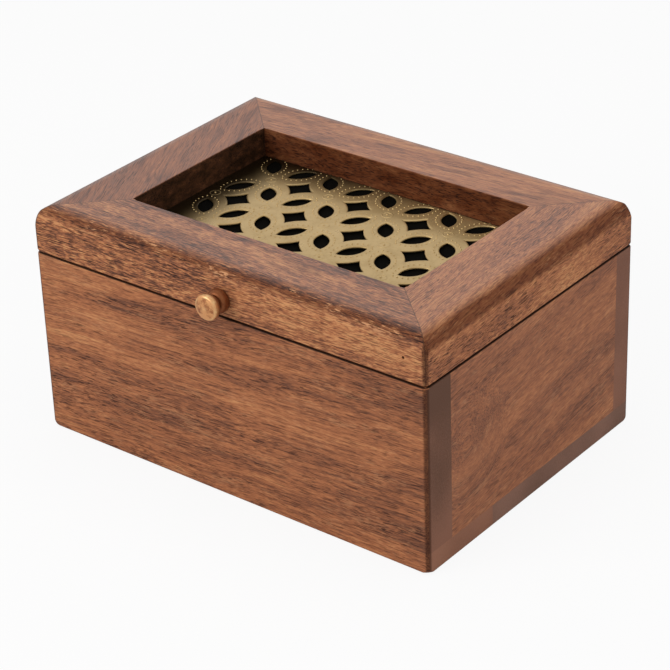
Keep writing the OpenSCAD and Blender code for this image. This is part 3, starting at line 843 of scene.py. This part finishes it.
sheet = merged_copy("stamped_brass_sheet", "pierced_brass_sheet")
sheet_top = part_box("pierced_brass_sheet")[1].z
for face in sheet.data.polygons:
    face.select = on_top(face, sheet_top)
upper_faces = sum(face.select for face in sheet.data.polygons)
bpy.context.tool_settings.mesh_select_mode = (False, False, True)
bpy.ops.object.mode_set(mode="EDIT")
bpy.ops.transform.translate(value=(0, 0, -ROLL_DEPTH))
for width, step_up in ROLL_STEPS:
    bpy.ops.mesh.inset(thickness=width * MM, depth=step_up * MM, use_boundary=True,
                       use_even_offset=True, use_relative_offset=False)
bpy.ops.object.mode_set(mode="OBJECT")
print("the sheet's upper skin had", upper_faces, "faces and has", len(sheet.data.polygons), "now")

# %% [markdown]
# ## Leaves and stars
#
# Beads follow the holes, so the holes have to be known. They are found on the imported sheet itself,
# where each closed loop of edges that bounds the upper face is a hole. A leaf's farthest point lies
# on a slant and a star's straight along X or Y, which tells the two apart.

# %% Leaves and stars
LEAST_REACH = 3 * MM     # smaller holes are the brads'
MOST_REACH = 20 * MM     # larger loops are the sheet's own border
STAR_STRAIGHTNESS = 0.97


def hole_loops(mesh, height):
    """The closed loops of edges that bound the upper face of a sheet, each as a list of points."""
    uses = {}
    for face in mesh.polygons:
        if on_top(face, height):
            for edge in face.edge_keys:
                uses[edge] = uses.get(edge, 0) + 1
    ends = {}
    for (a, b), count in uses.items():
        if count == 1:
            ends.setdefault(a, []).append(b)
            ends.setdefault(b, []).append(a)
    loops = []
    while ends:
        start = next(iter(ends))
        loop, here = [], start
        while here in ends:
            loop.append(here)
            nexts = ends.pop(here)
            here = next((n for n in nexts if n in ends), start)
        loops.append([mesh.vertices[index].co.copy() for index in loop])
    return loops


flat_sheet = merged_copy("flat_sheet", "pierced_brass_sheet")
loops = hole_loops(flat_sheet.data, sheet_top)
bpy.data.objects.remove(flat_sheet)

leaves = []
stars = []
for loop in loops:
    middle = sum(loop, Vector()) / len(loop)
    far = max(loop, key=lambda point: (point - middle).length)
    reach = (far - middle).length
    least = min((point - middle).length for point in loop)
    if not LEAST_REACH < reach < MOST_REACH:
        continue
    if max(abs(far.x - middle.x), abs(far.y - middle.y)) > STAR_STRAIGHTNESS * reach:
        stars.append(middle)
    else:
        leaves.append((middle, far - middle, least))
print(len(leaves), "leaves and", len(stars), "stars")

# %% [markdown]
# ## Beads
#
# A row of beads runs round every leaf. One low dome is modelled and copied, because nothing else
# about them differs. A leaf is two arcs that meet in points, so the row is two wider arcs on the
# same centres, joined by a small arc round each point, and the beads are spaced along all four.

# %% Beads
BEAD_RADIUS = 0.40 * MM
BEAD_HEIGHT = 0.34 * MM
BEADS_PER_LEAF = 20
BEAD_OFFSET = 2.15 * MM
JUST_BELOW = (0, 0, -0.001 * MM)


def leaf_ring(half_length, half_width, offset, count):
    """Evenly spaced points of a leaf's outline, moved outwards: two flanks and two round tips."""
    radius = (half_length ** 2 + half_width ** 2) / (2 * half_width)
    spread = math.asin(half_length / radius)
    flank = 2 * spread * (radius + offset)
    tip = (math.pi - 2 * spread) * offset
    points = []
    for index in range(count):
        travel = (index + 0.5) / count * 2 * (flank + tip)
        side = 1 if travel < flank + tip else -1
        travel = travel % (flank + tip)
        if travel < flank:
            angle = spread - travel / (radius + offset)
            point = Vector((math.sin(angle), math.cos(angle), 0)) * (radius + offset)
            point.y -= radius - half_width
        else:
            angle = spread + (travel - flank) / offset
            point = Vector((-half_length, 0, 0)) + Vector((-math.sin(angle), math.cos(angle), 0)) * offset
        points.append(point * side)
    return points


def press_flat(made, share):
    """Cuts away the lower half of a shape and presses the rest to a share of its height."""
    select_only(made)
    bpy.ops.object.mode_set(mode="EDIT")
    bpy.ops.mesh.select_all(action="SELECT")
    bpy.ops.mesh.bisect(plane_co=JUST_BELOW, plane_no=UP, clear_inner=True)
    bpy.ops.mesh.select_all(action="SELECT")
    bpy.ops.transform.resize(value=(1, 1, share), center_override=(0, 0, 0))
    bpy.ops.object.mode_set(mode="OBJECT")
    bpy.ops.object.shade_smooth()


def dome(name, radius, height, around=10, rows=4):
    """A low dome: the upper half of a sphere, flattened."""
    bpy.ops.object.select_all(action="DESELECT")
    bpy.ops.mesh.primitive_uv_sphere_add(segments=around, ring_count=2 * rows, radius=radius)
    made = bpy.context.object
    made.name = name
    press_flat(made, height / radius)
    return made


def strike(pattern, place):
    """A copy of a struck shape, with its own mesh, moved to its place on the sheet."""
    mesh = pattern.data.copy()
    mesh.transform(Matrix.Translation(place))
    made = bpy.data.objects.new(pattern.name, mesh)
    bpy.context.scene.collection.objects.link(made)
    return made


bead = dome("bead", BEAD_RADIUS, BEAD_HEIGHT, around=8, rows=3)
struck = []
for middle, reach, least in leaves:
    lean = Matrix.Rotation(math.atan2(reach.y, reach.x), 3, "Z")
    for point in leaf_ring(reach.length, least, BEAD_OFFSET, BEADS_PER_LEAF):
        place = middle + lean @ point
        struck.append(strike(bead, Vector((place.x, place.y, sheet_top))))
print(len(struck), "beads")

# %% [markdown]
# ## Ring bosses
#
# Stars and bosses take turns in the gaps between four leaves. A boss is a thin ring with a point in
# its middle. The first column of gaps is cut by the sheet's border, where only the boss is struck, a
# little further in.

# %% Ring bosses
BOSS_RADIUS = 2.25 * MM
BOSS_LIP = 0.32 * MM
BOSS_FLATNESS = 0.4
POINT_RADIUS = 0.5 * MM
POINT_HEIGHT = 0.4 * MM
EDGE_BOSS_SHIFT = 3.4 * MM
LEAST_PITCH = 3 * MM  # leaves closer together than this are in one row


def ring_boss():
    """A struck ring with a point in its middle."""
    bpy.ops.object.select_all(action="DESELECT")
    bpy.ops.mesh.primitive_torus_add(major_radius=BOSS_RADIUS, minor_radius=BOSS_LIP,
                                     major_segments=36, minor_segments=12)
    made = bpy.context.object
    made.name = "ring_boss"
    press_flat(made, BOSS_FLATNESS)
    point = dome("boss_point", POINT_RADIUS, POINT_HEIGHT)
    select_only(made)
    point.select_set(True)
    bpy.ops.object.join()
    return made


def gaps_between(places):
    """The middles of the gaps between rows or columns of leaves, and one gap before the first of them."""
    lines = []
    for place in sorted(places):
        if not lines or place - lines[-1] > LEAST_PITCH:
            lines.append(place)
    pitch = (lines[-1] - lines[0]) / (len(lines) - 1)
    return [lines[0] + (index - 0.5) * pitch for index in range(len(lines))]


boss = ring_boss()
bosses = 0
for row, y in enumerate(gaps_between(middle.y for middle, _, _ in leaves)[1:]):
    for column, x in enumerate(gaps_between(middle.x for middle, _, _ in leaves)):
        if (row + column) % 2:
            shift = EDGE_BOSS_SHIFT if column == 0 else 0
            struck.append(strike(boss, Vector((x + shift, y, sheet_top))))
            bosses += 1
print(bosses, "ring bosses")

# %% [markdown]
# ## One sheet, slightly crowned
#
# Stamping leaves the sheet bowed, and a bowed metal shows a slow change of light that a flat one
# lacks. The long triangles are first cut by a grid, so that the skin can bend. Beads and bosses are
# joined to it, each point keeps its height above the land, so that the painted shadow spares the
# struck tips, and all points are lifted.

# %% One sheet, slightly crowned
CROWN = 1.2 * MM
CROWN_GRID = 8 * MM
SMOOTH_ANGLE = math.radians(50)

for pattern in (bead, boss):
    bpy.data.objects.remove(pattern)
sheet_low, sheet_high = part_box("pierced_brass_sheet")
centre = (sheet_low + sheet_high) / 2
half = (sheet_high - sheet_low) / 2
select_only(sheet)
bpy.ops.object.mode_set(mode="EDIT")
for axis in (0, 1):
    cuts = math.ceil(2 * half[axis] / CROWN_GRID)
    for index in range(1, cuts):
        plane = centre.copy()
        plane[axis] += (2 * index / cuts - 1) * half[axis]
        bpy.ops.mesh.select_all(action="SELECT")
        bpy.ops.mesh.bisect(plane_co=plane, plane_no=(RIGHT, BACK)[axis])
bpy.ops.object.mode_set(mode="OBJECT")
select_only(sheet)
for piece in struck:
    piece.select_set(True)
bpy.ops.object.join()
heights = sheet.data.attributes.new(STRUCK_HEIGHT, "FLOAT", "POINT")
for vertex in sheet.data.vertices:
    heights.data[vertex.index].value = (vertex.co.z - sheet_top) / MM
    away_x = (vertex.co.x - centre.x) / half.x
    away_y = (vertex.co.y - centre.y) / half.y
    vertex.co.z += CROWN * (1 - away_x ** 2) * (1 - away_y ** 2)
sheet.data.materials.clear()
sheet.data.materials.append(aged_brass)
select_only(sheet)
bpy.ops.object.shade_smooth_by_angle(angle=SMOOTH_ANGLE)
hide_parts("pierced_brass_sheet")
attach(sheet, "lid")
print("the stamped sheet has", len(sheet.data.polygons), "faces")
